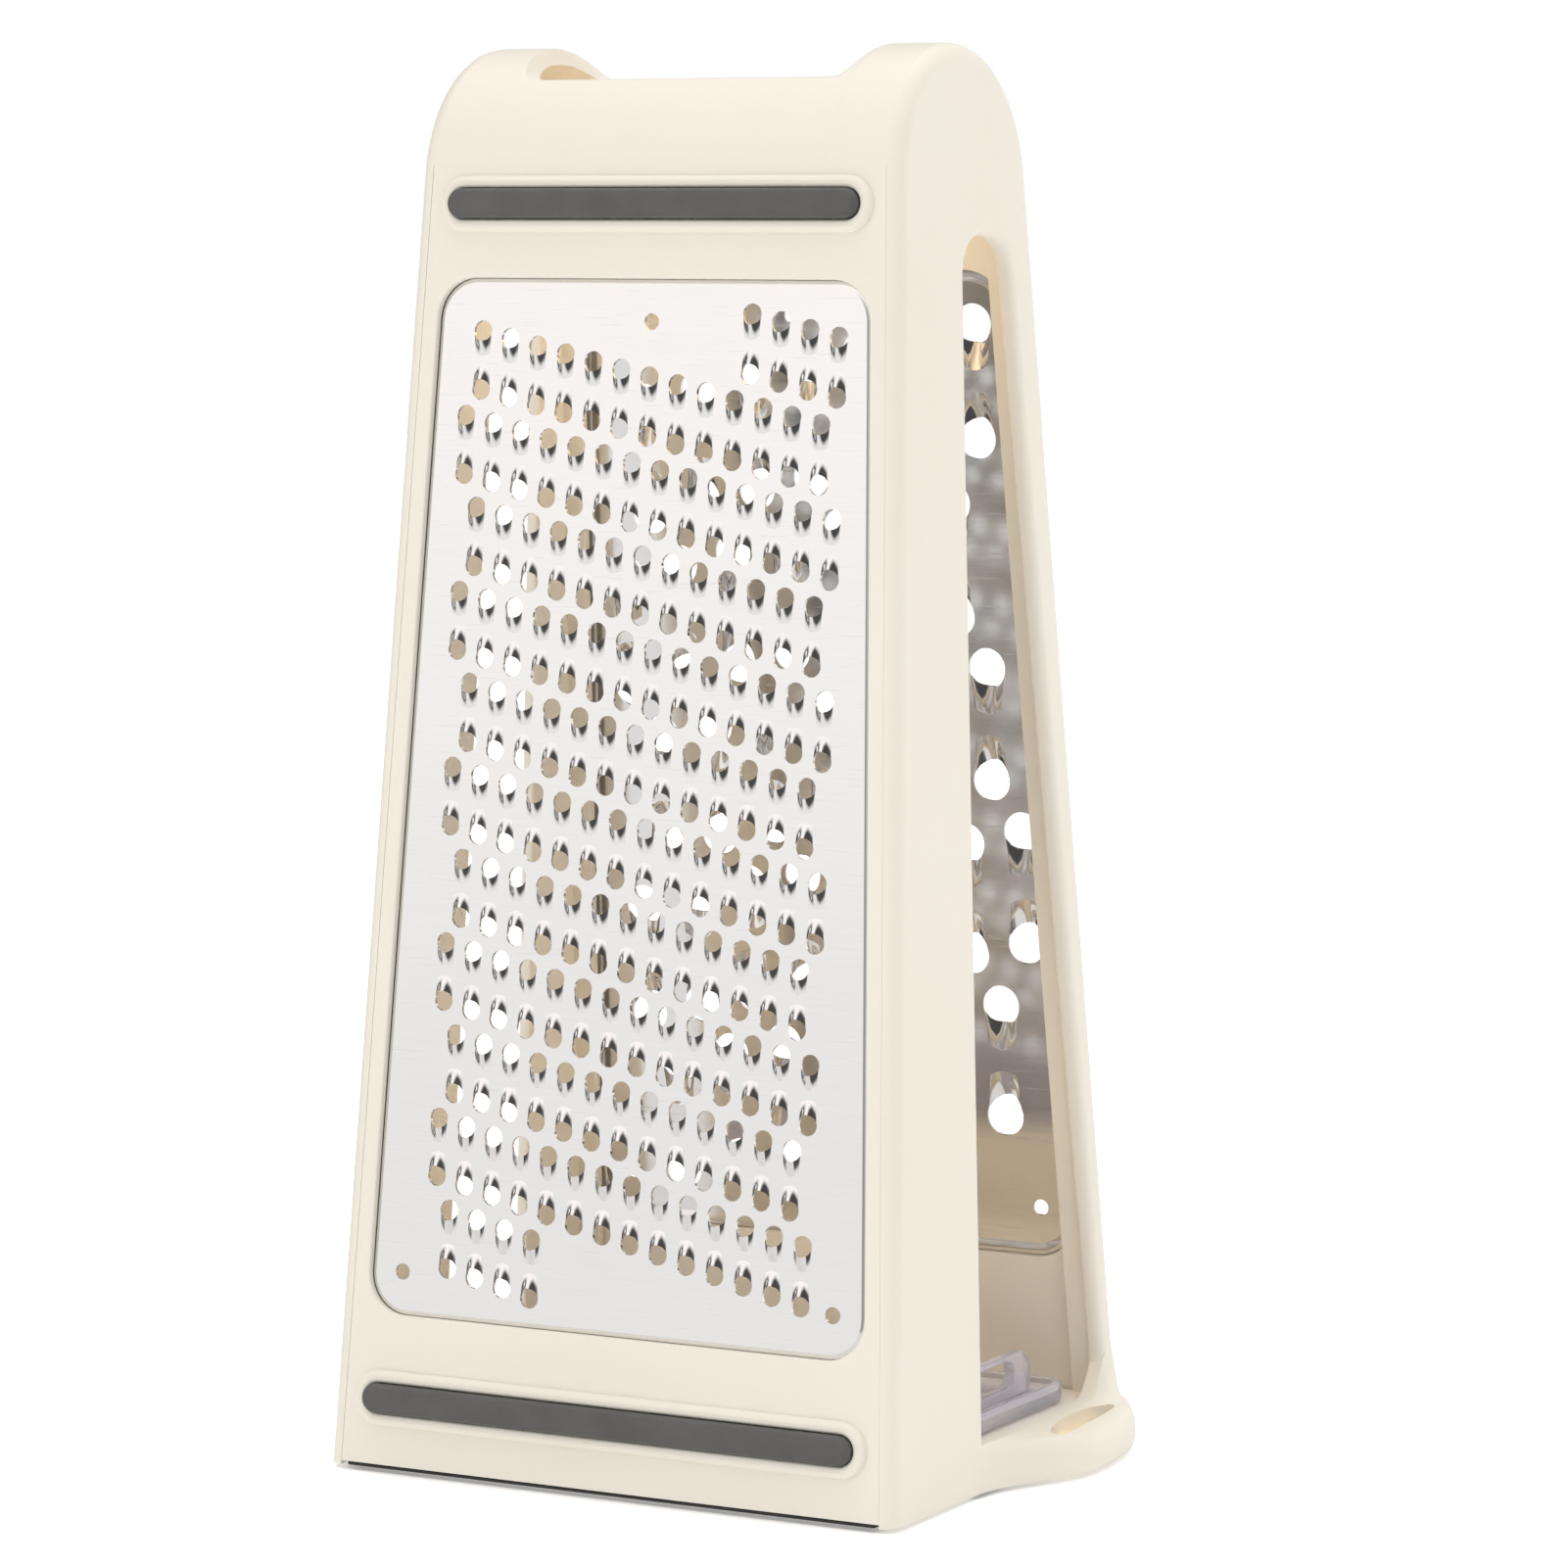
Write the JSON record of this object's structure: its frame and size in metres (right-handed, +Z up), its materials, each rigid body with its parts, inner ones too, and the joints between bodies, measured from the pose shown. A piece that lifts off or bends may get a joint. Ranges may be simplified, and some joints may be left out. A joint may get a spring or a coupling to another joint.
{
  "type": "cheese grater",
  "caption": "Two-sided standing cheese grater with a cream plastic body, fine and coarse steel plates, grey grip strips and a clear catch tray that slides out at the side.",
  "frame": {"origin": "middle of the footprint, lip included, on the ground the grater stands on", "axes": "+Z up along the height; the fine plate faces -Y and the coarse plate +Y; +X is towards the side with the lip, where the tray slides out"},
  "size_m": [0.12, 0.0888, 0.241],
  "materials": {
    "cream": "smooth cream moulded plastic with a soft sheen",
    "steel": "bright polished stainless sheet with faint crosswise brushing",
    "grip": "soft matt grey rubber",
    "foot": "dark matt rubber",
    "clear": "clear glossy plastic with a faint lavender tint"
  },
  "bodies": {
    "grater": {"body_shell": "cream", "front_panel": "cream", "rear_panel": "cream", "fine_plate": "steel", "coarse_plate": "steel", "front_upper_grip": "grip", "front_lower_grip": "grip", "rear_upper_grip": "grip", "rear_lower_grip": "grip", "front_foot_strip": "foot", "rear_foot_strip": "foot"},
    "tray": {"catch_tray": "clear"}
  },
  "joints": [
    {"name": "tray_slide", "type": "slide", "parent": "grater", "child": "tray", "axis": [1, 0, 0], "range_m": [0, 0.095]}
  ]
}
